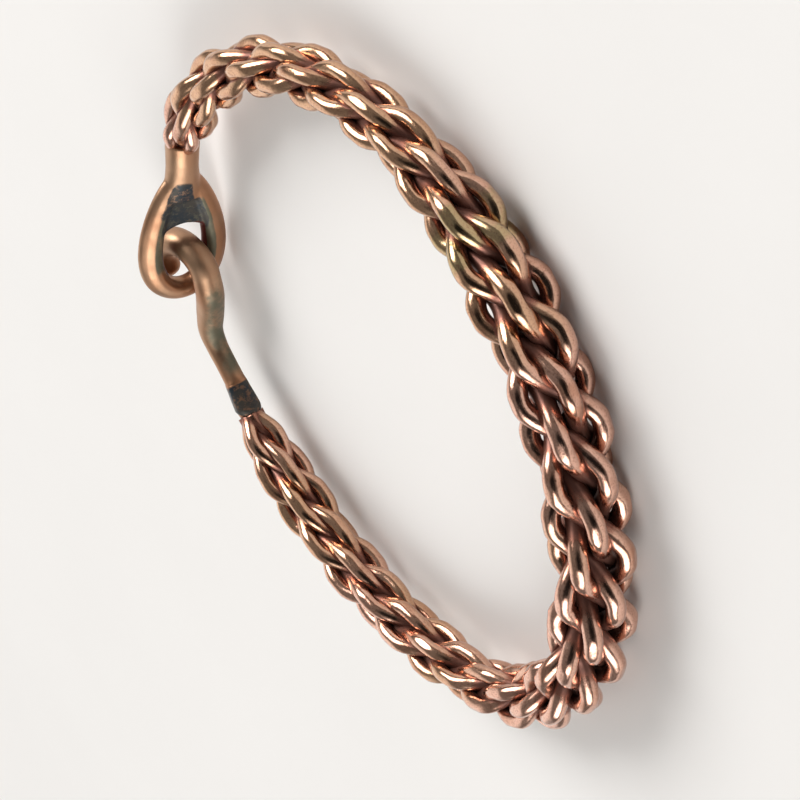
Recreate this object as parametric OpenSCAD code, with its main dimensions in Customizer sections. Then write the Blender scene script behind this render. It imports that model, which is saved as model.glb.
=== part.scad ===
/* [Loop] */
// Length of the oval through the middle of the braid
loop_length = 70.7; // [69:0.1:72]
// Width of the oval through the middle of the braid
loop_width = 60.4; // [59.5:0.1:61.5]
// How much fuller the oval is at its +X end
loop_egg = 0.107; // [0:0.001:0.2]
// Shift along X that centres the finished bracelet
centre_x = 0.3; // [-2:0.1:2]
// Shift along Y that centres the finished bracelet
centre_y = 1; // [-2:0.05:2]

/* [Braid] */
// Diameter of the whole braid where it is thickest
braid_d = 8.8; // [8.8:0.1:9.2]
// Diameter of one wire where the braid is thickest
wire_d = 1.44; // [1.3:0.01:1.46]
// Length of one full weave cycle
cycle_length = 9.1; // [8.9:0.1:9.5]
// Thickness of the braid where it meets the clasp, as a share of its middle
root_share = 0.6; // [0.6:0.01:0.7]
// Thickness of the braid's slim ends as a share of its middle
slim_share = 0.71; // [0.71:0.01:0.9]
// Length of each slim end
slim_length = 42; // [30:1:50]
// Length over which a slim end swells to the thick middle
swell_length = 22; // [15:1:30]
// How strongly the wires thin where the braid slims, where 1 is in proportion
wire_slimming = 0.8; // [0.8:0.05:1.3]
// Place of the first weave cycle along the braid, in cycles
weave_start = 0.135; // [0:0.005:1]
// Turn of the whole weave about the braid's own middle
weave_turn = 44; // [0:1:180]
// Gap between the wires' ends and the clasp's two pieces
end_gap = 0.3; // [0.2:0.05:0.6]

/* [Clasp] */
// Angle on the oval at which the braid meets the eye
eye_root_angle = 29; // [27:0.5:31]
// Angle on the oval at which the braid meets the hook
hook_root_angle = 90; // [89:0.5:91]
// Length of the eye from the braid to its far end
eye_length = 20.5; // [20.3:0.1:20.7]
// Width of the eye's ring through the middle of its metal
eye_width = 7.4; // [7.3:0.1:7.5]
// Thickness of the eye's ring at its far end
eye_limb_d = 2.5; // [2.3:0.1:2.5]
// Turn of the eye towards the inside of the bracelet
eye_turn = 17; // [16.5:0.5:17.5]
// Rise of the eye out of the bracelet's level
eye_rise = 4; // [3.5:0.5:4.5]
// Roll of the eye about its own length
eye_roll = 15; // [13:1:17]
// Diameter of the hook's rod at its bend
hook_d = 3.1; // [2.9:0.1:3.1]
// Radius of the hook's bend through the middle of its rod
hook_bend_r = 3.4; // [3.35:0.05:3.45]

/* [Hidden] */
ROSE_BRONZE = [0.78, 0.53, 0.40];
WARM_BRONZE = [0.72, 0.47, 0.30];
UP = [0, 0, 1];
// How far the faceted wires lie inside the round braid where it rests
facet_inset = 0.06;

function unit(v) = v / norm(v);
function total(v) = v * [for (x = v) 1];
function degrees(radians) = radians * 180 / PI;

// The oval through the middle of the braid, anticlockwise as its angle grows
function oval(a) = [
    loop_length / 2 * cos(a) + centre_x,
    loop_width / 2 * sin(a) * (1 + loop_egg * cos(a)) + centre_y,
    braid_d / 2 - facet_inset
];
function oval_rate(a) = [
    -loop_length / 2 * sin(a),
    loop_width / 2 * (cos(a) + loop_egg * cos(2 * a)),
    0
];
function inward(a) = unit(cross(UP, oval_rate(a)));
function angle_step(a, distance) = degrees(distance / norm(oval_rate(a)));

// A place beside the oval: so far inward and so far up
function beside(a, inside, above) = oval(a) + inside * inward(a) + above * UP;

// The braid runs clockwise from the eye, the long way round to the hook
hook_end_angle = hook_root_angle - 360;
braid_length = total([
    for (a = [hook_end_angle + 0.5 : 1 : eye_root_angle]) norm(oval_rate(a))
]) * PI / 180;

// Local size of the braid and of its wires as a share of the thick middle
root_length = 10;
function eased(low, high, x) =
    let (t = max(0, min(1, (x - low) / (high - low)))) t * t * (3 - 2 * t);
function share(distance) =
    let (from_end = min(distance, braid_length - distance))
    root_share + (slim_share - root_share) * eased(0, root_length, from_end)
    + (1 - slim_share) * eased(slim_length, slim_length + swell_length, from_end);
function wire_share(distance) = pow(share(distance), wire_slimming);

// The weave starts a little before the braid does: its distance by cycle, and
// rows of distance along the braid and angle on the oval
lead = 3;
route_step = 0.4;
cycles = (braid_length + 2 * lead) / cycle_length;
function cycle_distance(u) = u * cycle_length - lead;
angle_by_distance = [
    for (d = -lead, a = eye_root_angle + angle_step(eye_root_angle, lead);
         d < braid_length + lead;
         a = a - angle_step(a, route_step), d = d + route_step)
    [d, a]
];

// Path of one wire within a weave cycle, in shares of how far out it comes, seen
// in a frame that turns with the weave: out, sideways and ahead
function weave_out(p) = 0.714 + 0.32 * cos(p) - 0.034 * cos(2 * p);
function weave_side(p) = -0.347 * sin(p) - 0.007 * sin(2 * p);
function weave_ahead(p) = -0.16 * sin(p) - 0.022 * sin(2 * p);
reach = (braid_d - wire_d) / 2;
turn_per_cycle = 110;
steps_in_weave = 2;
fold_angle = 90;

function strand_phase(k, u) = 360 * (u + weave_start - (k % steps_in_weave) / steps_in_weave);
function strand_distance(k, u) =
    let (d = cycle_distance(u))
    d + reach * share(d) * weave_ahead(strand_phase(k, u));
function strand_point(k, u) =
    let (
        p = strand_phase(k, u),
        turn = weave_turn + turn_per_cycle * (u + weave_start)
            + fold_angle * floor(k / steps_in_weave),
        size = reach * share(cycle_distance(u)),
        out = size * weave_out(p),
        side = size * weave_side(p),
        a = lookup(strand_distance(k, u), angle_by_distance)
    )
    beside(a, out * cos(turn) - side * sin(turn), out * sin(turn) + side * cos(turn));

// Sweeps: a frame is carried along the points, and rings of points are skinned
function heading(p, i) = unit(p[min(i + 1, len(p) - 1)] - p[max(i - 1, 0)]);
function square_to(v, t) = unit(v - (v * t) * t);
function carried(p, start) = [
    for (i = 0, v = square_to(start, heading(p, 0));
         i < len(p);
         v = square_to(v, heading(p, min(i + 1, len(p) - 1))), i = i + 1)
    v
];
function rod_rings(p, radii, sides, start) =
    let (v = carried(p, start))
    [for (i = [0 : len(p) - 1])
        let (w = cross(heading(p, i), v[i]))
        [for (j = [0 : sides - 1])
            p[i] + radii[i] * (cos(360 * j / sides) * v[i] + sin(360 * j / sides) * w)]];

module skin(rings, closed = false) {
    n = len(rings[0]);
    m = len(rings);
    spans = closed ? m : m - 1;
    sides = [
        for (i = [0 : spans - 1], j = [0 : n - 1])
        let (
            a = i * n + j,
            b = i * n + (j + 1) % n,
            c = ((i + 1) % m) * n + (j + 1) % n,
            d = ((i + 1) % m) * n + j
        )
        each [[a, c, b], [a, d, c]]
    ];
    caps = closed ? [] : [
        [for (j = [0 : n - 1]) j],
        [for (j = [n - 1 : -1 : 0]) (m - 1) * n + j]
    ];
    polyhedron([for (ring = rings) each ring], concat(sides, caps), convexity = 10);
}

// The cycle at which a wire comes to a distance along the braid, by small steps
function cycle_at(k, distance, u, steps_left = 5) =
    steps_left == 0 ? u
    : cycle_at(k, distance, u + (distance - strand_distance(k, u)) / cycle_length, steps_left - 1);

// One woven wire. It runs between two ends that are clear of the clasp's pieces,
// and its other rings are evenly spread over each cycle
strand_sides = 5;
rings_per_cycle = 9;
strand_margin = end_gap + wire_d / 2 * wire_share(0);
shortest_step = 0.3 / rings_per_cycle;
module strand(k) {
    first = cycle_at(k, strand_margin, 0);
    last = cycle_at(k, braid_length - strand_margin, cycles);
    between = [
        for (i = [-1 : ceil(cycles)], ring = [0 : rings_per_cycle - 1])
        let (u = i + ring / rings_per_cycle + (k % steps_in_weave) / steps_in_weave - weave_start)
        if (u > first + shortest_step && u < last - shortest_step) u
    ];
    stations = concat([first], between, [last]);
    points = [for (u = stations) strand_point(k, u)];
    radii = [for (u = stations) wire_d / 2 * wire_share(cycle_distance(u))];
    color(ROSE_BRONZE) skin(rod_rings(points, radii, strand_sides, UP));
}

// The eye lies flat here, with its length along X and its ring's hole facing Z
eye_sides = 10;
eye_rings = 28;
eye_half_length = 7.4;
eye_middle = eye_length - eye_limb_d / 2 - eye_half_length;
eye_egg = 0.55;
eye_neck_share = 0.8;
eye_side_share = 1.2;
function eye_fullness(p) = sin(p) * (eye_egg + (1 - eye_egg) * pow(sin(p / 2), 2));
eye_fullest = max([for (p = [0 : 5 : 180]) eye_fullness(p)]);
function eye_line(p) = [
    eye_middle - eye_half_length * cos(p),
    eye_width / 2 * eye_fullness(p) / eye_fullest,
    0
];
function eye_limb_r(p) = eye_limb_d / 2 * (eye_neck_share + (1 - eye_neck_share) * pow(sin(p / 2), 2));
function eye_limb_across(p) = 1 + (eye_side_share - 1) * pow(sin(p), 2);
module eye_ring() {
    line = [for (i = [0 : eye_rings - 1]) eye_line(360 * i / eye_rings)];
    rings = [
        for (i = [0 : eye_rings - 1])
        let (
            ahead = line[(i + 1) % eye_rings],
            behind = line[(i + eye_rings - 1) % eye_rings],
            side = cross(UP, unit(ahead - behind)),
            r = eye_limb_r(360 * i / eye_rings),
            across = eye_limb_across(360 * i / eye_rings)
        )
        [for (j = [0 : eye_sides - 1])
            let (q = 360 * j / eye_sides)
            line[i] + r * (across * cos(q) * side + sin(q) * UP)]
    ];
    skin(rings, closed = true);
}

// Rows of place along the eye, half width and half depth of its shank
SHANK = [
    [0.1, 1.85, 1.75],
    [1.2, 1.8, 1.7],
    [3, 1.75, 1.6],
    [4.6, 1.9, 1.45],
    [6, 2.3, 1.3],
    [7.2, 2.6, 1.1]
];
module eye_shank() {
    skin([
        for (row = SHANK)
        [for (j = [0 : eye_sides - 1])
            let (q = 360 * j / eye_sides)
            [row[0], row[1] * cos(q), row[2] * sin(q)]]
    ]);
}

// The thinner web that closes the ring's narrow end, with a round lower edge
web_end = 10.3;
web_edge_r = 3.6;
web_edge_sides = 18;
web_thickness = 1.5;
module eye_web() {
    translate([0, 0, -web_thickness / 2])
        linear_extrude(web_thickness)
            difference() {
                polygon([
                    for (i = [0 : eye_rings - 1])
                    let (q = eye_line(360 * i / eye_rings))
                    [min(q.x, web_end + web_edge_r), q.y]
                ]);
                translate([web_end + web_edge_r, 0])
                    circle(web_edge_r, $fn = web_edge_sides);
            }
}

module eye_terminal() {
    way = oval_rate(eye_root_angle);
    color(WARM_BRONZE)
        translate(oval(eye_root_angle))
            rotate([90 + eye_roll, -eye_rise, atan2(way.y, way.x) + eye_turn])
                union() {
                    eye_ring();
                    eye_shank();
                    eye_web();
                }
}

// Where the middle of the hook's bend lies, and how far its tip rises past it
bend_middle = 19.5;
bend_inside = 0.2;
bend_up = 0.5;
tip_lift = 0.6;
// Rows of distance from the braid, place inward, place up and diameter
HOOK = [
    [0.1, 0, 0, 2.7],
    [1.1, 0.1, 0, 2.8],
    [1.6, 0.2, 0, 3],
    [4.4, 0.3, 0, 2.5],
    [4.9, 0.3, 0, 2.3],
    [7, 0.1, 0, 2.3],
    [9.2, -0.2, 0, 2.4],
    [11.3, 0.1, 0.1, 2.7],
    [13.4, 1.3, 0.1, 3],
    [15.4, 2.6, 0.3, hook_d],
    [17.2, bend_inside + hook_bend_r - 0.1, bend_up, hook_d]
];
tip_length = 1.6;
hook_sides = 10;
bend_step = 20;
bend = [
    for (q = [0 : bend_step : 180])
    [
        bend_middle + hook_bend_r * sin(q),
        bend_inside + hook_bend_r * cos(q),
        bend_up + tip_lift * (1 - cos(q)) / 2,
        hook_d
    ]
];
// Rows of the tip's place past the bend and its diameter as a share of the rod
TIP = [[0.55, 1], [0.8, 0.92], [0.93, 0.7], [1, 0.35]];
tip = [
    for (row = TIP)
    [
        bend_middle - row[0] * tip_length,
        bend_inside - hook_bend_r,
        bend_up + tip_lift,
        row[1] * hook_d
    ]
];
// Points on a smooth curve through the rows, two to each span
function smooth(rows, i, f) =
    let (
        a = rows[max(i - 1, 0)],
        b = rows[i],
        c = rows[i + 1],
        d = rows[min(i + 2, len(rows) - 1)]
    )
    b + (c - a) * f / 2 + (2 * a - 5 * b + 4 * c - d) * f * f / 2
    + (3 * b - a - 3 * c + d) * f * f * f / 2;
shaft = [
    for (i = [0 : len(HOOK) - 2], f = [0, 0.5]) smooth(HOOK, i, f)
];

module hook_terminal() {
    rows = concat(shaft, [HOOK[len(HOOK) - 1]], bend, tip);
    points = [
        for (row = rows)
        let (a = hook_root_angle - angle_step(hook_root_angle, row[0]))
        beside(a, row[1], row[2])
    ];
    color(WARM_BRONZE)
        skin(rod_rings(points, [for (row = rows) row[3] / 2], hook_sides, UP));
}

strand(0);  // strand_1
strand(1);  // strand_2
strand(2);  // strand_3
strand(3);  // strand_4
strand(4);  // strand_5
strand(5);  // strand_6
strand(6);  // strand_7
strand(7);  // strand_8
eye_terminal();
hook_terminal();
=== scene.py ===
import math

import bpy
import numpy as np
from mathutils import Matrix, Vector, kdtree


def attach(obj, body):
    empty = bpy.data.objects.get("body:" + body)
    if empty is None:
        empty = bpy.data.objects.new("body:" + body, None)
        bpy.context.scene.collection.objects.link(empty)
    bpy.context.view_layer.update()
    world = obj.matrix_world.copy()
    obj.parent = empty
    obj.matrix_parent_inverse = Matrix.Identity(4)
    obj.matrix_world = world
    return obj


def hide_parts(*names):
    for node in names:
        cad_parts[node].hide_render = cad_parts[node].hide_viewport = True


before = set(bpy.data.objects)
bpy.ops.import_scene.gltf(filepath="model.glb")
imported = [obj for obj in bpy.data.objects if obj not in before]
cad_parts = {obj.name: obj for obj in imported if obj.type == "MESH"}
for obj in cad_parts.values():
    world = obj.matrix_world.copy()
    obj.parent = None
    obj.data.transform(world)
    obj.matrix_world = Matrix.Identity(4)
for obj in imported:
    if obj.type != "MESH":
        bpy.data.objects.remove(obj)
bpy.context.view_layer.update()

MM = 0.001

# The bracelet's sizes, in millimetres and degrees, as the solids have them
LOOP_LENGTH = 70.7
LOOP_WIDTH = 60.4
LOOP_EGG = 0.107
CENTRE_X = 0.3
CENTRE_Y = 1.0
BRAID_D = 8.8
FACET_INSET = 0.06
CYCLE_LENGTH = 9.1
ROOT_SHARE = 0.6
SLIM_SHARE = 0.71
ROOT_LENGTH = 10
SLIM_LENGTH = 42
SWELL_LENGTH = 22
WEAVE_START = 0.135
WEAVE_TURN = 44
EYE_ROOT_ANGLE = 29
HOOK_ROOT_ANGLE = 90
EYE_LENGTH = 20.5
EYE_WIDTH = 7.4
EYE_LIMB_D = 2.5
EYE_TURN = 17
EYE_RISE = 4
EYE_ROLL = 15
HOOK_D = 3.1
HOOK_BEND_R = 3.4
MIDDLE_HEIGHT = BRAID_D / 2 - FACET_INSET

UP = np.array([0.0, 0.0, 1.0])


def unit(v):
    return v / np.linalg.norm(v, axis=-1, keepdims=True)


def smoothstep(low, high, x):
    t = np.clip((x - low) / (high - low), 0.0, 1.0)
    return t * t * (3.0 - 2.0 * t)


def band(x, rise_from, full_from, full_to, fall_to):
    return smoothstep(rise_from, full_from, x) * (1.0 - smoothstep(full_to, fall_to, x))


# The oval through the middle of the braid
def oval(angle):
    a = np.radians(np.asarray(angle, float))
    return np.stack([
        LOOP_LENGTH / 2 * np.cos(a) + CENTRE_X,
        LOOP_WIDTH / 2 * np.sin(a) * (1 + LOOP_EGG * np.cos(a)) + CENTRE_Y,
        np.full_like(a, MIDDLE_HEIGHT),
    ], axis=-1)


def oval_rate(angle):
    a = np.radians(np.asarray(angle, float))
    return np.stack([
        -LOOP_LENGTH / 2 * np.sin(a),
        LOOP_WIDTH / 2 * (np.cos(a) + LOOP_EGG * np.cos(2 * a)),
        np.zeros_like(a),
    ], axis=-1)


def inward(angle):
    return unit(np.cross(UP, oval_rate(angle)))


def angle_step(angle, distance):
    return np.degrees(distance / np.linalg.norm(oval_rate(angle)))


def beside(angle, inside, above):
    return (
        oval(angle)
        + np.asarray(inside)[..., None] * inward(angle)
        + np.asarray(above)[..., None] * UP
    )


hook_end_angle = HOOK_ROOT_ANGLE - 360
half_degrees = np.arange(hook_end_angle + 0.5, EYE_ROOT_ANGLE, 1.0)
braid_length = np.linalg.norm(oval_rate(half_degrees), axis=1).sum() * math.pi / 180


# Local size of the braid as a share of its thick middle
def share(distance):
    from_end = np.minimum(distance, braid_length - distance)
    return (
        ROOT_SHARE
        + (SLIM_SHARE - ROOT_SHARE) * smoothstep(0, ROOT_LENGTH, from_end)
        + (1 - SLIM_SHARE) * smoothstep(SLIM_LENGTH, SLIM_LENGTH + SWELL_LENGTH, from_end)
    )


# Distance along the braid, angle on the oval and weave cycles passed
LEAD = 3
ROUTE_STEP = 0.4
route_distance = []
route_angle = []
d = -float(LEAD)
a = EYE_ROOT_ANGLE + angle_step(EYE_ROOT_ANGLE, LEAD)
while d < braid_length + LEAD:
    route_distance.append(d)
    route_angle.append(a)
    a = a - angle_step(a, ROUTE_STEP)
    d = d + ROUTE_STEP
route_angle_rising = [-v for v in route_angle]
cycles = (braid_length + 2 * LEAD) / CYCLE_LENGTH


def distance_at(u):
    return u * CYCLE_LENGTH - LEAD


def angle_at(distance):
    return -np.interp(distance, route_distance, route_angle_rising)


# Path of one wire in a weave cycle, a little smoother than the solid's, in shares
# of how far out it comes. The wires are worn flat where they face out
OUT_MIDDLE = 0.714
OUT_SWING = 0.32
OUT_SECOND_SWING = 0.034
SIDE_SWING = 0.30
AHEAD_SWING = 0.10
TURN_PER_CYCLE = 110
STEPS_IN_WEAVE = 2
FOLD_ANGLE = 90
STRANDS = 8
WIRE_D = 2.0
WIRE_SLIMMING = 0.6
WORN_DEPTH = 0.12
WORN_EDGE = 0.05
DRAW_IN_LENGTH = 2.6
DRAW_IN_SHARE = 0.45
OVERRUN = 0.9


def drawn_in(distance):
    # The wires close up where they run into the cast ends
    from_end = np.minimum(distance, braid_length - distance)
    return DRAW_IN_SHARE + (1 - DRAW_IN_SHARE) * smoothstep(-OVERRUN, DRAW_IN_LENGTH, from_end)


def wire_radius(place):
    return WIRE_D / 2 * (1 - WIRE_SLIMMING * (1 - share(place)))


def braid_radius(place):
    return BRAID_D / 2 * share(place)


def weave_reach(place):
    return braid_radius(place) + WORN_DEPTH * share(place) - wire_radius(place)


def strand_path(k, u):
    step = k % STEPS_IN_WEAVE
    p = 2 * np.pi * (u + WEAVE_START - step / STEPS_IN_WEAVE)
    turn = np.radians(
        WEAVE_TURN + TURN_PER_CYCLE * (u + WEAVE_START) + FOLD_ANGLE * (k // STEPS_IN_WEAVE)
    )
    place = distance_at(u)
    size = weave_reach(place)
    distance = place - size * AHEAD_SWING * np.sin(p)
    close = drawn_in(distance)
    out = size * close * (
        OUT_MIDDLE + OUT_SWING * np.cos(p) - OUT_SECOND_SWING * np.cos(2 * p)
    )
    side = -size * close * SIDE_SWING * np.sin(p)
    inside = out * np.cos(turn) - side * np.sin(turn)
    above = out * np.sin(turn) + side * np.cos(turn)
    angle = angle_at(distance)
    return {
        "points": beside(angle, inside, above),
        "angle": angle,
        "distance": distance,
        "inside": inside,
        "above": above,
        "radius": wire_radius(place),
    }


# Sweeps
def headings(points):
    ahead = np.vstack([points[1:], points[-1:]])
    behind = np.vstack([points[:1], points[:-1]])
    return unit(ahead - behind)


def carried_frames(points):
    tangents = headings(points)
    normals = np.zeros_like(points)
    v = UP
    for i, t in enumerate(tangents):
        v = unit(v - np.dot(v, t) * t)
        normals[i] = v
    return normals, np.cross(tangents, normals)


def ring_faces(rings, sides, closed=False):
    faces = []
    spans = rings if closed else rings - 1
    for i in range(spans):
        here = i * sides
        there = (i + 1) % rings * sides
        for j in range(sides):
            k = (j + 1) % sides
            faces.append((here + j, here + k, there + k, there + j))
    if not closed:
        faces.append(tuple(range(sides))[::-1])
        faces.append(tuple((rings - 1) * sides + j for j in range(sides)))
    return faces


def make_mesh(name, points, faces):
    mesh = bpy.data.meshes.new(name)
    mesh.from_pydata((np.asarray(points) * MM).tolist(), [], faces)
    mesh.validate()
    mesh.polygons.foreach_set("use_smooth", [True] * len(mesh.polygons))
    mesh.update()
    return mesh


def add_object(name, mesh):
    piece = bpy.data.objects.new(name, mesh)
    bpy.context.scene.collection.objects.link(piece)
    return piece


def store(mesh, name, values):
    values = np.asarray(values, float)
    if values.ndim == 1:
        layer = mesh.attributes.new(name, "FLOAT", "POINT")
        layer.data.foreach_set("value", values.ravel())
    else:
        layer = mesh.attributes.new(name, "FLOAT_VECTOR", "POINT")
        layer.data.foreach_set("vector", values.ravel())


# Shader helpers. A ramp goes smoothly from one value to another while its input
# goes from low to high
def new_material(name):
    material = bpy.data.materials.new(name)
    material.use_nodes = True
    tree = material.node_tree
    tree.nodes.clear()
    output = tree.nodes.new("ShaderNodeOutputMaterial")
    shader = tree.nodes.new("ShaderNodeBsdfPrincipled")
    tree.links.new(shader.outputs[0], output.inputs["Surface"])
    return material, tree, shader


def connect(tree, source, target):
    if isinstance(source, bpy.types.NodeSocket):
        tree.links.new(source, target)
    else:
        target.default_value = source


def attribute(tree, name, vector=False):
    n = tree.nodes.new("ShaderNodeAttribute")
    n.attribute_name = name
    return n.outputs["Vector" if vector else "Fac"]


def object_place(tree):
    return tree.nodes.new("ShaderNodeTexCoord").outputs["Object"]


def noise(tree, place, scale, detail, roughness):
    n = tree.nodes.new("ShaderNodeTexNoise")
    tree.links.new(place, n.inputs["Vector"])
    n.inputs["Scale"].default_value = scale
    n.inputs["Detail"].default_value = detail
    n.inputs["Roughness"].default_value = roughness
    return n.outputs[0]


def ramp(tree, value, low, high, to_low=0.0, to_high=1.0):
    n = tree.nodes.new("ShaderNodeMapRange")
    n.interpolation_type = "SMOOTHSTEP"
    connect(tree, value, n.inputs["Value"])
    n.inputs["From Min"].default_value = low
    n.inputs["From Max"].default_value = high
    n.inputs["To Min"].default_value = to_low
    n.inputs["To Max"].default_value = to_high
    return n.outputs[0]


def math_node(tree, operation, a, b):
    n = tree.nodes.new("ShaderNodeMath")
    n.operation = operation
    connect(tree, a, n.inputs[0])
    connect(tree, b, n.inputs[1])
    return n.outputs[0]


def mix_colour(tree, factor, a, b):
    n = tree.nodes.new("ShaderNodeMix")
    n.data_type = "RGBA"
    connect(tree, factor, n.inputs["Factor"])
    connect(tree, a if not isinstance(a, tuple) else (*a, 1.0), n.inputs[6])
    connect(tree, b if not isinstance(b, tuple) else (*b, 1.0), n.inputs[7])
    return n.outputs[2]


def bump(tree, height, strength, distance, below=None):
    n = tree.nodes.new("ShaderNodeBump")
    n.inputs["Strength"].default_value = strength
    n.inputs["Distance"].default_value = distance
    tree.links.new(height, n.inputs["Height"])
    if below is not None:
        tree.links.new(below, n.inputs["Normal"])
    return n.outputs[0]


# Polished rose bronze wire with patina and painted shade in its recesses
ROSE = (0.74, 0.44, 0.335)
GOLDEN = (0.66, 0.40, 0.250)
COPPER = (0.50, 0.24, 0.150)
OLIVE = (0.46, 0.37, 0.19)
# RUSSET colours the fine pores and, with UMBER, the patina and painted shade in the recesses
RUSSET = (0.31, 0.135, 0.095)
UMBER = (0.15, 0.062, 0.045)


def wire_material():
    material, tree, shader = new_material("rose_bronze_wire")
    place = object_place(tree)
    along = attribute(tree, "wire_place", vector=True)
    recess_patina_and_shade = attribute(tree, "recess_patina_and_shade")
    patches = noise(tree, place, 260.0, 3.0, 0.6)
    broad = noise(tree, place, 45.0, 2.0, 0.5)
    streaks = noise(tree, along, 6.0, 4.0, 0.65)
    grain = noise(tree, place, 5600.0, 3.0, 0.65)
    hammered = noise(tree, place, 900.0, 2.0, 0.55)
    greening = attribute(tree, "greening")
    # Tones of clean metal, with the greenish petals and fine russet pores
    metal = mix_colour(tree, ramp(tree, broad, 0.42, 0.62), ROSE, GOLDEN)
    metal = mix_colour(tree, ramp(tree, patches, 0.50, 0.74, 0.0, 0.7), metal, COPPER)
    green = math_node(tree, "ADD", greening, ramp(tree, patches, 0.3, 0.7, -0.35, 0.25))
    metal = mix_colour(tree, ramp(tree, green, 0.4, 0.9, 0.0, 0.75), metal, OLIVE)
    metal = mix_colour(tree, ramp(tree, grain, 0.50, 0.66, 0.0, 0.55), metal, RUSSET)
    # Patina and painted shade in the recesses, and painted shade where wires nearly touch, with a
    # ragged edge
    ragged = math_node(tree, "ADD", recess_patina_and_shade, ramp(tree, patches, 0.3, 0.7, -0.16, 0.16))
    ragged = math_node(tree, "ADD", ragged, ramp(tree, streaks, 0.3, 0.7, -0.07, 0.07))
    dim_patina_and_shade = ramp(tree, ragged, 0.22, 0.62)
    deep_patina_and_shade = ramp(tree, ragged, 0.5, 0.95)
    metal = mix_colour(tree, dim_patina_and_shade, metal, RUSSET)
    metal = mix_colour(tree, deep_patina_and_shade, metal, UMBER)
    tree.links.new(metal, shader.inputs["Base Color"])
    tree.links.new(ramp(tree, ragged, 0.35, 0.9, 1.0, 0.6), shader.inputs["Metallic"])
    # Polish that is duller in the recesses, then soft waves, dents, scratches and pits
    polish = ramp(tree, streaks, 0.35, 0.75, 0.10, 0.24)
    rough = math_node(tree, "ADD", polish, ramp(tree, ragged, 0.2, 0.8, 0.0, 0.22))
    tree.links.new(rough, shader.inputs["Roughness"])
    waves = bump(tree, patches, 0.30, 0.00025)
    dents = bump(tree, hammered, 0.22, 0.00007, waves)
    scratches = bump(tree, streaks, 0.16, 0.00008, dents)
    pits = bump(tree, grain, 0.14, 0.00003, scratches)
    tree.links.new(pits, shader.inputs["Normal"])
    return material


# Satin cast bronze with tarnish, and dark red painted shade for the eye's hole
AMBER = (0.40, 0.205, 0.115)
SAND = (0.46, 0.285, 0.180)
VERDIGRIS = (0.13, 0.125, 0.085)
SLATE = (0.020, 0.031, 0.042)
SOOT = (0.060, 0.054, 0.046)
# Dark red painted shade for the inner wall of the eye's hole
OXBLOOD = (0.10, 0.018, 0.014)


def cast_material():
    material, tree, shader = new_material("satin_cast_bronze")
    place = object_place(tree)
    tarnish = attribute(tree, "tarnish")
    slate = attribute(tree, "slate")
    hole_painted_shade = attribute(tree, "hole_painted_shade")
    patches = noise(tree, place, 420.0, 4.0, 0.62)
    broad = noise(tree, place, 130.0, 2.0, 0.5)
    grain = noise(tree, place, 4200.0, 2.0, 0.6)
    # Clean metal, then green tarnish, the speckled black crust and the dark red painted shade on the
    # hole's inner wall
    metal = mix_colour(tree, ramp(tree, broad, 0.4, 0.65), AMBER, SAND)
    ragged = math_node(tree, "ADD", tarnish, ramp(tree, patches, 0.3, 0.7, -0.22, 0.2))
    green = ramp(tree, ragged, 0.25, 0.95)
    metal = mix_colour(tree, green, metal, VERDIGRIS)
    edge = math_node(tree, "ADD", slate, ramp(tree, patches, 0.3, 0.7, -0.30, 0.26))
    specks = noise(tree, place, 1700.0, 4.0, 0.7)
    black = ramp(tree, edge, 0.32, 0.74)
    black = math_node(tree, "MULTIPLY", black, ramp(tree, specks, 0.36, 0.50, 0.55, 1.0))
    dark_tone = mix_colour(tree, ramp(tree, patches, 0.40, 0.66), SLATE, SOOT)
    metal = mix_colour(tree, black, metal, dark_tone)
    # Dark red painted shade on the inner wall of the eye's hole
    red_edge = math_node(tree, "ADD", hole_painted_shade, ramp(tree, patches, 0.3, 0.7, -0.2, 0.2))
    red = ramp(tree, red_edge, 0.4, 0.65)
    metal = mix_colour(tree, red, metal, OXBLOOD)
    tree.links.new(metal, shader.inputs["Base Color"])
    # Stained places and the painted shade in the hole are less metallic and a little rougher
    stain_and_shade = math_node(tree, "MAXIMUM", green, black)
    stain_and_shade = math_node(tree, "MAXIMUM", stain_and_shade, red)
    tree.links.new(ramp(tree, stain_and_shade, 0.0, 1.0, 1.0, 0.55), shader.inputs["Metallic"])
    satin = ramp(tree, patches, 0.3, 0.7, 0.36, 0.50)
    rough = math_node(tree, "ADD", satin, ramp(tree, stain_and_shade, 0.0, 1.0, 0.0, 0.04))
    tree.links.new(rough, shader.inputs["Roughness"])
    waves = bump(tree, patches, 0.15, 0.0002)
    crust = bump(tree, specks, 0.22, 0.00005, waves)
    pits = bump(tree, grain, 0.16, 0.00004, crust)
    tree.links.new(pits, shader.inputs["Normal"])
    return material


wire_bronze = wire_material()
cast_bronze = cast_material()

# The eight woven wires
WIRE_SIDES = 22
WIRE_RINGS_PER_CYCLE = 36
# Recesses carry patina and painted shade from this share of the weave's reach inwards, and none
# from this one outwards. Wires get painted shade from each other where the gap between them is narrow
RECESS_DARK = 0.50
RECESS_UNDARKENED = 1.12
TOUCH_GAP = 0.16
TOUCH_SHADE = 0.8
GREENING_MIDDLE = 57
GREENING_FULL = 1.5
GREENING_END = 4.0
STREAK_LENGTH = 5.0
STREAK_SHIFT = 7.0
around = 2 * np.pi * np.arange(WIRE_SIDES) / WIRE_SIDES


def whole_path(k):
    stations = np.arange(0.0, cycles, 1.0 / WIRE_RINGS_PER_CYCLE)
    distance = strand_path(k, stations)["distance"]
    on_braid = (distance > -OVERRUN) & (distance < braid_length + OVERRUN)
    return strand_path(k, stations[on_braid])


def tree_of_points(points):
    tree = kdtree.KDTree(len(points))
    for i, p in enumerate(points):
        tree.insert(p, i)
    tree.balance()
    return tree


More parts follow.
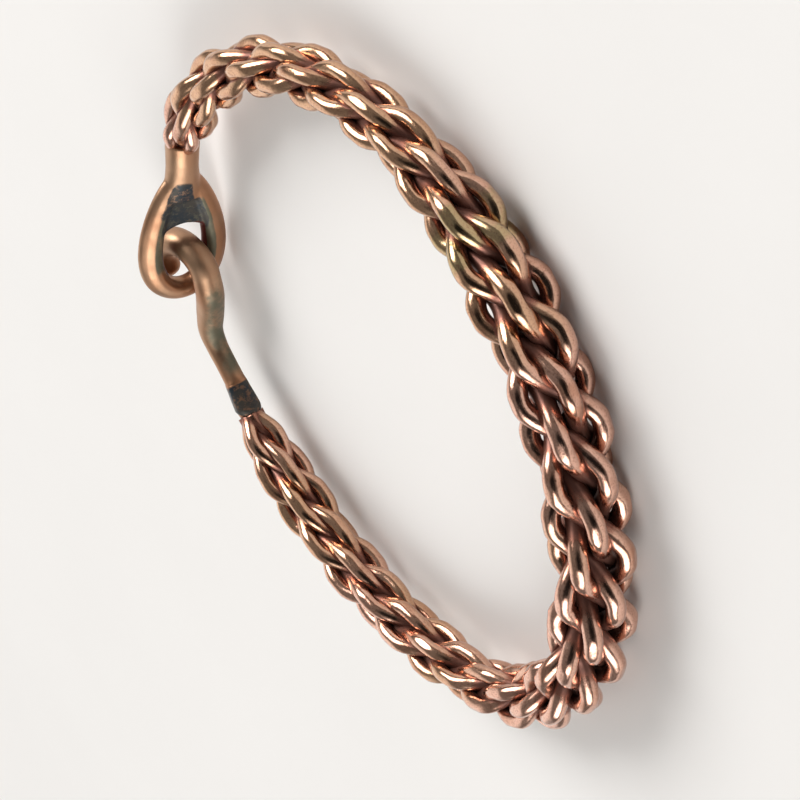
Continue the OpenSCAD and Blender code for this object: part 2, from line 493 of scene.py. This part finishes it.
def wire_skin(path):
    # Rings around the path, worn flat where they face out
    normals, binormals = carried_frames(path["points"])
    offset = (
        np.cos(around)[None, :, None] * normals[:, None]
        + np.sin(around)[None, :, None] * binormals[:, None]
    )
    radius = path["radius"][:, None]
    rings = path["points"][:, None] + radius[..., None] * offset
    inside_way = inward(path["angle"])[:, None]
    inside = path["inside"][:, None] + radius * (offset * inside_way).sum(-1)
    above = path["above"][:, None] + radius * offset[..., 2]
    from_middle = np.hypot(inside, above)
    edge = (WORN_EDGE * share(path["distance"]))[:, None]
    limit = braid_radius(path["distance"])[:, None] - edge
    worn = np.where(
        from_middle > limit, limit + edge * np.tanh((from_middle - limit) / edge), from_middle
    )
    change = (worn / from_middle - 1)[..., None]
    rings = rings + change * (inside[..., None] * inside_way + above[..., None] * UP)
    return rings.reshape(-1, 3), worn.ravel()


def wire_patina_and_shade(k, path, vertices, from_middle):
    # How deep each place lies in the braid, and how close another wire is, as patina and
    # painted shade for deep places and painted shade where another wire nearly touches.
    # The others are taken to be as thick as this one
    size = np.repeat(weave_reach(path["distance"]), WIRE_SIDES)
    radius = np.repeat(path["radius"], WIRE_SIDES)
    gap = np.full(len(vertices), np.inf)
    for other, tree in enumerate(wire_trees):
        if other == k:
            continue
        reach = np.array([tree.find(v)[2] for v in vertices])
        gap = np.minimum(gap, (reach - radius) / size)
    return np.maximum(
        1.0 - smoothstep(RECESS_DARK, RECESS_UNDARKENED, from_middle / size),
        TOUCH_SHADE * (1.0 - smoothstep(0.0, TOUCH_GAP, gap)),
    )


def wire_greening(path):
    # A few petals of the braid have a greenish cast
    from_green = np.abs(path["distance"] - GREENING_MIDDLE)
    return np.repeat(1.0 - smoothstep(GREENING_FULL, GREENING_END, from_green), WIRE_SIDES)


def streak_places(k, points):
    # Place along and around the wire, so that streaks run along it
    steps = np.linalg.norm(np.diff(points, axis=0), axis=1)
    travelled = np.concatenate([[0], np.cumsum(steps)])
    return np.stack([
        np.repeat(travelled / STREAK_LENGTH + STREAK_SHIFT * k, WIRE_SIDES),
        np.tile(np.cos(around), len(points)),
        np.tile(np.sin(around), len(points)),
    ], axis=-1)


paths = [whole_path(k) for k in range(STRANDS)]
wire_trees = [tree_of_points(path["points"]) for path in paths]

for k, path in enumerate(paths):
    vertices, from_middle = wire_skin(path)
    faces = ring_faces(len(path["points"]), WIRE_SIDES)
    mesh = make_mesh(f"wire_{k + 1}", vertices, faces)
    # Patina and painted shade in the recesses, painted shade where wires nearly touch
    store(mesh, "recess_patina_and_shade", wire_patina_and_shade(k, path, vertices, from_middle))
    store(mesh, "greening", wire_greening(path))
    store(mesh, "wire_place", streak_places(k, path["points"]))
    mesh.materials.append(wire_bronze)
    piece = add_object(f"wire_{k + 1}", mesh)
    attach(piece, "root")
    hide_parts(f"strand_{k + 1}")

# The eye, first in a place of its own with its length along X
EYE_HALF_LENGTH = 7.4
EYE_EGG = 0.55
EYE_NECK_SHARE = 0.8
EYE_SIDE_SHARE = 1.2
EYE_STEP = 5
eye_middle = EYE_LENGTH - EYE_LIMB_D / 2 - EYE_HALF_LENGTH
WEB_END = 10.3
WEB_EDGE_R = 3.6
WEB_THICKNESS = 1.3


def eye_fullness(p):
    return np.sin(p) * (EYE_EGG + (1 - EYE_EGG) * np.sin(p / 2) ** 2)


eye_fullest = eye_fullness(np.radians(np.arange(0, 181, EYE_STEP))).max()


def eye_line(p):
    return np.stack([
        eye_middle - EYE_HALF_LENGTH * np.cos(p),
        EYE_WIDTH / 2 * eye_fullness(p) / eye_fullest,
        np.zeros_like(p),
    ], axis=-1)


def eye_limb_r(p):
    return EYE_LIMB_D / 2 * (EYE_NECK_SHARE + (1 - EYE_NECK_SHARE) * np.sin(p / 2) ** 2)


def eye_limb_across(p):
    return 1 + (EYE_SIDE_SHARE - 1) * np.sin(p) ** 2


# Half of the limb's section as shares of its radius: out from the hole and up
LIMB_PROFILE = [
    (1.04, 0.0),
    (1.02, 0.22),
    (0.95, 0.45),
    (0.82, 0.66),
    (0.63, 0.83),
    (0.40, 0.94),
    (0.15, 0.97),
    (-0.08, 0.90),
    (-0.42, 0.78),
    (-0.62, 0.60),
    (-0.88, 0.34),
    (-0.98, 0.12),
]
full_profile = np.array(
    LIMB_PROFILE + [(-1.0, 0.0)] + [(x, -y) for x, y in LIMB_PROFILE[:0:-1]]
)
EYE_RINGS = 180


def eye_ring_parts():
    p = 2 * np.pi * np.arange(EYE_RINGS) / EYE_RINGS
    line = eye_line(p)
    way = unit(np.roll(line, -1, axis=0) - np.roll(line, 1, axis=0))
    side = -np.cross(UP, way)
    r = eye_limb_r(p)
    out = full_profile[:, 0][None, :, None] * (eye_limb_across(p)[:, None] * side)[:, None]
    above = full_profile[:, 1][None, :, None] * UP
    points = line[:, None] + r[:, None, None] * (out + above)
    return points.reshape(-1, 3), ring_faces(EYE_RINGS, len(full_profile), closed=True)


# Place along the eye, half width and half depth of its shank
SHANK = np.array([
    (-0.2, 1.88, 1.78),
    (1.2, 1.82, 1.7),
    (3.0, 1.77, 1.62),
    (4.6, 1.92, 1.48),
    (6.0, 2.32, 1.3),
    (7.2, 2.6, 1.1),
])
SHANK_RINGS = 40
SHANK_SIDES = 32


def eye_shank_parts():
    x = np.linspace(SHANK[0, 0], SHANK[-1, 0], SHANK_RINGS)
    half_width = np.interp(x, SHANK[:, 0], SHANK[:, 1])
    half_depth = np.interp(x, SHANK[:, 0], SHANK[:, 2])
    q = 2 * np.pi * np.arange(SHANK_SIDES) / SHANK_SIDES
    points = np.stack([
        np.repeat(x[:, None], SHANK_SIDES, axis=1),
        half_width[:, None] * np.cos(q),
        half_depth[:, None] * np.sin(q),
    ], axis=-1)
    return points.reshape(-1, 3), ring_faces(SHANK_RINGS, SHANK_SIDES)


WEB_COLUMNS = 60
WEB_START = 5.4
# How far round the eye its outline is followed for the web, in shares of a half turn
WEB_OUTLINE_TURN = 0.62
WEB_OUTLINE_STEPS = 200


def eye_web_parts():
    p = np.linspace(0.0, np.pi * WEB_OUTLINE_TURN, WEB_OUTLINE_STEPS)
    edge = eye_line(p)
    widest = np.interp(WEB_END + WEB_EDGE_R, edge[:, 0], edge[:, 1])
    points = []
    for y in np.linspace(-widest, widest, WEB_COLUMNS):
        start = max(WEB_START, float(np.interp(abs(y), edge[:, 1], edge[:, 0])))
        inside_hole = max(0.0, WEB_EDGE_R ** 2 - y ** 2)
        end = max(start, WEB_END + WEB_EDGE_R - math.sqrt(inside_hole))
        for x, z in ((start, 1), (end, 1), (end, -1), (start, -1)):
            points.append((x, y, z * WEB_THICKNESS / 2))
    return np.array(points), ring_faces(WEB_COLUMNS, 4)


EYE_VOXEL = 0.11
EYE_SMOOTHING = 20
SMOOTHING_FACTOR = 0.5


def cast_mesh(name, parts, voxel, smoothing):
    # Several closed shapes become one smooth casting
    vertices = []
    faces = []
    for part_points, part_faces in parts:
        start = len(vertices)
        vertices.extend(part_points.tolist())
        faces.extend(tuple(i + start for i in face) for face in part_faces)
    rough = add_object(name + "_rough", make_mesh(name + "_rough", np.array(vertices), faces))
    remesh = rough.modifiers.new("fuse", "REMESH")
    remesh.mode = "VOXEL"
    remesh.voxel_size = voxel * MM
    smooth = rough.modifiers.new("smooth", "SMOOTH")
    smooth.factor = SMOOTHING_FACTOR
    smooth.iterations = smoothing
    bpy.context.view_layer.update()
    depsgraph = bpy.context.evaluated_depsgraph_get()
    mesh = bpy.data.meshes.new_from_object(rough.evaluated_get(depsgraph))
    mesh.name = name
    bpy.data.objects.remove(rough)
    mesh.polygons.foreach_set("use_smooth", [True] * len(mesh.polygons))
    return mesh


def mesh_points(mesh):
    values = np.zeros(len(mesh.vertices) * 3)
    mesh.vertices.foreach_get("co", values)
    return values.reshape(-1, 3) / MM


eye_mesh = cast_mesh(
    "eye", [eye_ring_parts(), eye_shank_parts(), eye_web_parts()], EYE_VOXEL, EYE_SMOOTHING
)

# Where each stain, and the painted shade on the hole's inner wall, starts, is full, starts to fade and
# ends along the eye
WEB_STAIN = (6.0, 7.4, 10.2, 12.0)
NECK_STAIN = (3.9, 5.0, 8.4, 9.4)
LIMB_STAIN = (6.0, 8.0, 15.0, 17.5)
HOLE_SHADE = (9.5, 11.0, 16.0, 18.0)
# Between which limits each stain, and the painted shade in the hole, grows or fades. An
# edge and a fade count from the middle of the metal towards the hole, in shares of the
# metal's radius, and a face counts off the eye's middle plane, in millimetres
WEB_EDGE = (0.30, 0.62)
WEB_FACE = (0.85, 1.15)
LIMB_EDGE = (0.0, 0.25)
LIMB_FADE = (-0.5, 0.3)
LIMB_FACE = (0.15, 0.4)
HOLE_EDGE = (0.5, 0.8)
HOLE_FACE = (0.5, 0.9)
# The stain on the neck leans to one side and widens along the eye, and its edge is in
# shares of its half width
NECK_STAIN_MIDDLE = 0.35
NECK_STAIN_LEAN = 0.12
NECK_LEAN_FROM = 5.0
NECK_STAIN_HALF = 0.9
NECK_STAIN_SPREAD = 0.30
NECK_SPREAD_FROM = 4.2
NECK_EDGE = (0.75, 1.15)
NECK_DARKNESS = 0.9
LIMB_DARKNESS = 0.9
OUTLINE_STEPS = 400


def eye_stains_and_shade(points):
    along, across, height = points.T
    off_plane = np.abs(height)
    p = np.linspace(0.0, np.pi, OUTLINE_STEPS)
    line = eye_line(p)
    half_width_here = np.interp(along, line[:, 0], line[:, 1])
    limb_here = np.interp(along, line[:, 0], eye_limb_r(p))
    from_line = (half_width_here - np.abs(across)) / limb_here
    in_hollow = smoothstep(*WEB_EDGE, from_line) * (1.0 - smoothstep(*WEB_FACE, off_plane))
    on_web = band(along, *WEB_STAIN) * in_hollow
    neck_middle = NECK_STAIN_MIDDLE + NECK_STAIN_LEAN * (along - NECK_LEAN_FROM)
    neck_half = NECK_STAIN_HALF + NECK_STAIN_SPREAD * np.maximum(along - NECK_SPREAD_FROM, 0)
    from_neck = np.abs(across - neck_middle) / neck_half
    on_neck = band(along, *NECK_STAIN) * (1.0 - smoothstep(*NECK_EDGE, from_neck))
    slate = np.maximum(on_web, NECK_DARKNESS * on_neck)
    beside_hole = smoothstep(*LIMB_EDGE, from_line) * smoothstep(*LIMB_FACE, off_plane)
    on_limb = band(along, *LIMB_STAIN) * smoothstep(*LIMB_FADE, from_line)
    tarnish = LIMB_DARKNESS * beside_hole * on_limb
    # Dark red painted shade on the inner wall of the hole
    inner_wall = smoothstep(*HOLE_EDGE, from_line) * (1.0 - smoothstep(*HOLE_FACE, off_plane))
    hole_painted_shade = inner_wall * band(along, *HOLE_SHADE)
    return tarnish, slate, hole_painted_shade


tarnish, slate, hole_painted_shade = eye_stains_and_shade(mesh_points(eye_mesh))
store(eye_mesh, "tarnish", tarnish)
store(eye_mesh, "slate", slate)
store(eye_mesh, "hole_painted_shade", hole_painted_shade)
eye_way = oval_rate(EYE_ROOT_ANGLE)
eye_heading = math.atan2(eye_way[1], eye_way[0]) + math.radians(EYE_TURN)
eye_matrix = (
    Matrix.Translation(Vector(oval(EYE_ROOT_ANGLE) * MM))
    @ Matrix.Rotation(eye_heading, 4, "Z")
    @ Matrix.Rotation(math.radians(-EYE_RISE), 4, "Y")
    @ Matrix.Rotation(math.radians(90 + EYE_ROLL), 4, "X")
)
eye_mesh.transform(eye_matrix)
eye_mesh.materials.append(cast_bronze)
eye_piece = add_object("eye", eye_mesh)
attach(eye_piece, "root")
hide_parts("eye_terminal")

# The hook: distance from the braid, place inward, place up and diameter
BEND_MIDDLE = 19.5
BEND_INSIDE = 0.2
BEND_UP = 0.5
TIP_LIFT = 0.6
HOOK = np.array([
    (-0.3, 0, 0, 2.3),
    (0.5, 0.05, 0, 2.35),
    (1.3, 0.1, 0, 2.6),
    (1.8, 0.2, 0, 3.0),
    (4.4, 0.3, 0, 2.55),
    (5.0, 0.3, 0, 2.35),
    (7, 0.1, 0, 2.3),
    (9.2, -0.2, 0, 2.4),
    (11.3, 0.1, 0.1, 2.7),
    (13.4, 1.3, 0.1, 3),
    (15.4, 2.6, 0.3, HOOK_D),
    (17.2, BEND_INSIDE + HOOK_BEND_R - 0.1, BEND_UP, HOOK_D),
])
TIP_LENGTH = 1.6
# The tip closes in steps of an angle, from this share of its length on. Its size
# follows a power of the cosine, and a power under 1 makes it blunt
TIP_STEP = 5
TIP_LAST_STEP = 85
TIP_START_SHARE = 0.25
TIP_LEAST = 0.1
TIP_POWER = 0.8
HOOK_SIDES = 32
HOOK_SUBSTEPS = 14
BEND_STEP = 4
# The block near the braid: where its square edges and its dark stain start, are
# full, start to fade and end. A section's power of 2 is round, and 5 nearly square
BLOCK_EDGES = (1.2, 1.9, 3.6, 5.4)
BLOCK_STAIN = (1.1, 1.5, 4.3, 4.8)
ROUND_POWER = 2.0
BLOCK_POWER = 5.0
BLOCK_FULLNESS = 0.9
BLOCK_TRIM = 0.07
BLOCK_TURN = 20
# The green tarnish on the hook's side towards the middle of the loop
HOOK_GREEN_START = 4.5
HOOK_GREEN_FULL = 7.0
HOOK_GREEN_FADE = (17.0, 19.0)
HOOK_GREEN_LOSS = 0.5
HOOK_GREEN_SIDE = (0.0, 0.95)
HOOK_GREEN_AMOUNT = 0.74
TIP_GREEN = 0.1


def smooth_rows(rows, steps):
    padded = np.vstack([rows[:1], rows, rows[-1:]])
    result = []
    for i in range(len(rows) - 1):
        a, b, c, d = padded[i:i + 4]
        for f in np.arange(steps) / steps:
            result.append(
                b + (c - a) * f / 2 + (2 * a - 5 * b + 4 * c - d) * f ** 2 / 2
                + (3 * b - a - 3 * c + d) * f ** 3 / 2
            )
    result.append(rows[-1])
    return np.array(result)


bend_angle = np.radians(np.arange(BEND_STEP, 180 + BEND_STEP / 2, BEND_STEP))
bend = np.stack([
    BEND_MIDDLE + HOOK_BEND_R * np.sin(bend_angle),
    BEND_INSIDE + HOOK_BEND_R * np.cos(bend_angle),
    BEND_UP + TIP_LIFT * (1 - np.cos(bend_angle)) / 2,
    np.full_like(bend_angle, HOOK_D),
], axis=-1)
tip_angle = np.radians(np.arange(0, TIP_LAST_STEP + 1, TIP_STEP))
tip_reach = TIP_LENGTH * (TIP_START_SHARE + (1 - TIP_START_SHARE) * np.sin(tip_angle))
tip = np.stack([
    BEND_MIDDLE - tip_reach,
    np.full_like(tip_angle, BEND_INSIDE - HOOK_BEND_R),
    np.full_like(tip_angle, BEND_UP + TIP_LIFT),
    HOOK_D * np.maximum(TIP_LEAST, np.cos(tip_angle)) ** TIP_POWER,
], axis=-1)
bend_start = np.array([[BEND_MIDDLE, BEND_INSIDE + HOOK_BEND_R, BEND_UP, HOOK_D]])
shaft_rows = smooth_rows(np.vstack([HOOK, bend_start]), HOOK_SUBSTEPS)
hook_rows = np.vstack([shaft_rows, bend, tip])
hook_angle = np.array([HOOK_ROOT_ANGLE - angle_step(HOOK_ROOT_ANGLE, row[0]) for row in hook_rows])
hook_points = beside(hook_angle, hook_rows[:, 1], hook_rows[:, 2])
normals, binormals = carried_frames(hook_points)
q = 2 * np.pi * np.arange(HOOK_SIDES) / HOOK_SIDES
reach = hook_rows[:, 0]
on_shaft = np.arange(len(hook_rows)) < len(shaft_rows)
squareness = np.where(on_shaft, band(reach, *BLOCK_EDGES), 0)
power = ROUND_POWER + (BLOCK_POWER - ROUND_POWER) * squareness
edge_turn = math.radians(BLOCK_TURN)
corner_cos = np.abs(np.cos(q[None, :] + edge_turn))
corner_sin = np.abs(np.sin(q[None, :] + edge_turn))
super_r = (
    (corner_cos ** power[:, None] + corner_sin ** power[:, None]) ** (-1 / power[:, None])
)
rod_r = hook_rows[:, 3] / 2 * (1 - BLOCK_TRIM * squareness)
section_r = rod_r[:, None] * (1 + (super_r - 1) * BLOCK_FULLNESS)
hook_vertices = (
    hook_points[:, None]
    + section_r[..., None] * (
        np.cos(q)[None, :, None] * normals[:, None] + np.sin(q)[None, :, None] * binormals[:, None]
    )
)
hook_faces = ring_faces(len(hook_points), HOOK_SIDES)
hook_mesh = make_mesh("hook", hook_vertices.reshape(-1, 3), hook_faces)
slate_rows = np.where(on_shaft, band(reach, *BLOCK_STAIN), 0)
green_along = smoothstep(HOOK_GREEN_START, HOOK_GREEN_FULL, reach)
green_along = green_along * (1 - HOOK_GREEN_LOSS * smoothstep(*HOOK_GREEN_FADE, reach))
green_rows = np.where(on_shaft, green_along, TIP_GREEN)
facing_in = smoothstep(*HOOK_GREEN_SIDE, np.sin(q))
green = HOOK_GREEN_AMOUNT * green_rows[:, None] * facing_in[None, :]
store(hook_mesh, "tarnish", green.ravel())
store(hook_mesh, "slate", np.repeat(slate_rows, HOOK_SIDES))
# The hook has none of the painted shade of the eye's hole
store(hook_mesh, "hole_painted_shade", np.zeros(len(hook_mesh.vertices)))
hook_mesh.materials.append(cast_bronze)
hook_piece = add_object("hook", hook_mesh)
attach(hook_piece, "root")
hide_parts("hook_terminal")

# Floor
FLOOR_HALF = 1500.0
FLOOR_DARKER = (0.78, 0.77, 0.76)
FLOOR_PALER = (0.82, 0.81, 0.80)
floor_mesh = make_mesh(
    "floor",
    [(-FLOOR_HALF, -FLOOR_HALF, 0), (FLOOR_HALF, -FLOOR_HALF, 0),
     (FLOOR_HALF, FLOOR_HALF, 0), (-FLOOR_HALF, FLOOR_HALF, 0)],
    [(0, 1, 2, 3)],
)
floor_material, floor_tree, floor_shader = new_material("pale_floor")
mottle = noise(floor_tree, object_place(floor_tree), 30.0, 3.0, 0.5)
floor_colour = mix_colour(floor_tree, mottle, FLOOR_DARKER, FLOOR_PALER)
floor_tree.links.new(floor_colour, floor_shader.inputs["Base Color"])
floor_shader.inputs["Roughness"].default_value = 0.7
floor_mesh.materials.append(floor_material)
floor_piece = add_object("floor", floor_mesh)

# Camera at the photograph's angle
CAMERA_DISTANCE = 330.0
CAMERA_ELEVATION = 28.0
CAMERA_AZIMUTH = -82.10
CAMERA_ROLL = 240.15
FOCAL_PIXELS = 3267.0
PICTURE = 800.0
SENSOR = 36.0
OBJECT_AT_X = 384.5
OBJECT_AT_Y = 388.8
elevation = math.radians(CAMERA_ELEVATION)
azimuth = math.radians(CAMERA_AZIMUTH)
roll = math.radians(CAMERA_ROLL)
from_middle = Vector((
    math.cos(elevation) * math.cos(azimuth),
    math.cos(elevation) * math.sin(azimuth),
    math.sin(elevation),
))
loop_middle = Vector((CENTRE_X, CENTRE_Y, MIDDLE_HEIGHT))
view_right = from_middle.cross(Vector((0, 0, -1))).normalized()
view_up = from_middle.cross(view_right).normalized()
picture_right = math.cos(roll) * view_right + math.sin(roll) * view_up
picture_up = -math.sin(roll) * view_right + math.cos(roll) * view_up
camera_data = bpy.data.cameras.new("camera")
camera_data.sensor_width = SENSOR
camera_data.lens = FOCAL_PIXELS / PICTURE * SENSOR
camera_data.shift_x = (PICTURE / 2 - OBJECT_AT_X) / PICTURE
camera_data.shift_y = (OBJECT_AT_Y - PICTURE / 2) / PICTURE
camera_data.clip_start = 0.01
camera = bpy.data.objects.new("camera", camera_data)
camera.matrix_world = Matrix.Translation((loop_middle + CAMERA_DISTANCE * from_middle) * MM) @ Matrix((
    (picture_right.x, picture_up.x, from_middle.x, 0),
    (picture_right.y, picture_up.y, from_middle.y, 0),
    (picture_right.z, picture_up.z, from_middle.z, 0),
    (0, 0, 0, 1),
))
bpy.context.scene.collection.objects.link(camera)
bpy.context.scene.camera = camera


# Lights that face the origin, in metres: place, width, height, power and colour
def softbox(name, place, width, height, power, colour):
    data = bpy.data.lights.new(name, "AREA")
    data.shape = "RECTANGLE"
    data.size = width
    data.size_y = height
    data.energy = power
    data.color = colour
    lamp = bpy.data.objects.new(name, data)
    lamp.location = Vector(place)
    lamp.rotation_euler = Vector(place).to_track_quat("Z", "Y").to_euler()
    bpy.context.scene.collection.objects.link(lamp)


softbox("key", (0.75, 0.05, 0.50), 0.55, 0.45, 4.6, (1.0, 0.98, 0.96))
softbox("fill", (-0.74, -0.12, 0.50), 0.60, 0.50, 2.6, (1.0, 0.98, 0.95))

# Studio surroundings: a soft even grey with pale areas at the sides and behind,
# and a dark one over the floor in front
SKY = 0.22
AREAS = [
    # direction, inner and outer angle in degrees, brightness
    ((0.829, 0.056, 0.55), 8, 26, 3.6),
    ((-0.821, -0.137, 0.554), 10, 32, 2.2),
    ((0.0, 0.94, 0.34), 15, 45, 1.0),
]
DARK_AREA = ((-0.177, -0.751, 0.629), 14, 40, 0.93)

world = bpy.data.worlds.new("studio")
world.use_nodes = True
sky_tree = world.node_tree
background = sky_tree.nodes["Background"]
sky_way = sky_tree.nodes.new("ShaderNodeTexCoord").outputs["Generated"]


def sky_area(way, inner, outer):
    n = sky_tree.nodes.new("ShaderNodeVectorMath")
    n.operation = "DOT_PRODUCT"
    sky_tree.links.new(sky_way, n.inputs[0])
    n.inputs[1].default_value = Vector(way).normalized()
    low = math.cos(math.radians(outer))
    high = math.cos(math.radians(inner))
    return ramp(sky_tree, n.outputs["Value"], low, high)


brightness = SKY
for way, inner, outer, amount in AREAS:
    area = math_node(sky_tree, "MULTIPLY", sky_area(way, inner, outer), amount)
    brightness = math_node(sky_tree, "ADD", area, brightness)
way, inner, outer, amount = DARK_AREA
shade = math_node(sky_tree, "MULTIPLY", sky_area(way, inner, outer), -amount)
shade = math_node(sky_tree, "ADD", shade, 1.0)
brightness = math_node(sky_tree, "MULTIPLY", brightness, shade)
sky_tree.links.new(brightness, background.inputs["Strength"])
background.inputs["Color"].default_value = (1.0, 0.985, 0.96, 1.0)
bpy.context.scene.world = world
bpy.context.scene.view_settings.view_transform = "Standard"

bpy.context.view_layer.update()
